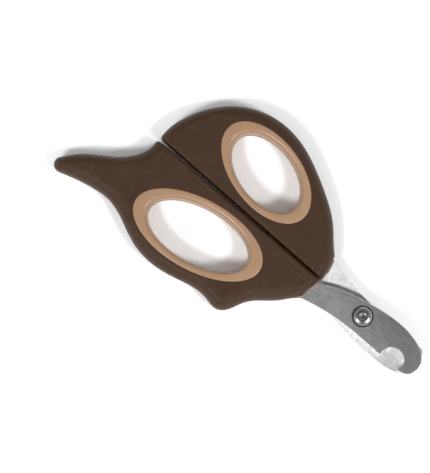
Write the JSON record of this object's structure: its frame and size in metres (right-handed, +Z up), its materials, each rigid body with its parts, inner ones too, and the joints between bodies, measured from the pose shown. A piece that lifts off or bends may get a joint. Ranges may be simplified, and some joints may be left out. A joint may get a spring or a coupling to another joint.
{
  "type": "pet claw scissors",
  "caption": "Scissor-type pet claw clipper with looped soft-grip handles and short blades that cross at a pivot screw, each with a half-round claw notch.",
  "frame": {"origin": "centre of the underside of the object's box, on the surface it lies on", "axes": "+X from the handles to the blades along the parting line, +Y towards the upper (rounded) handle, +Z up, out of the face with the screw's head"},
  "size_m": [0.127, 0.0598, 0.0094],
  "materials": {
    "front_steel": "fine brushed stainless steel",
    "back_steel": "cross-ground stainless steel",
    "core_plastic": "moulded, hidden",
    "grip_rubber": "soft-touch with a fine leather grain",
    "liner_plastic": "satin moulded",
    "screw_steel": "polished steel"
  },
  "bodies": {
    "lower_half": {"front_blade": "front_steel", "lower_core": "core_plastic", "lower_grip": "grip_rubber", "lower_ring_liner": "liner_plastic"},
    "upper_half": {"back_blade": "back_steel", "upper_core": "core_plastic", "upper_grip": "grip_rubber", "upper_ring_liner": "liner_plastic", "pivot_nut": "screw_steel", "pivot_washer": "screw_steel", "pivot_screw": "screw_steel"}
  },
  "joints": [
    {"name": "blade_pivot", "type": "hinge", "parent": "lower_half", "child": "upper_half", "pos_m": [0.04013, 0.00074, 0.0047], "axis": [0, 0, -1], "range_deg": [-0.35, 90]}
  ]
}
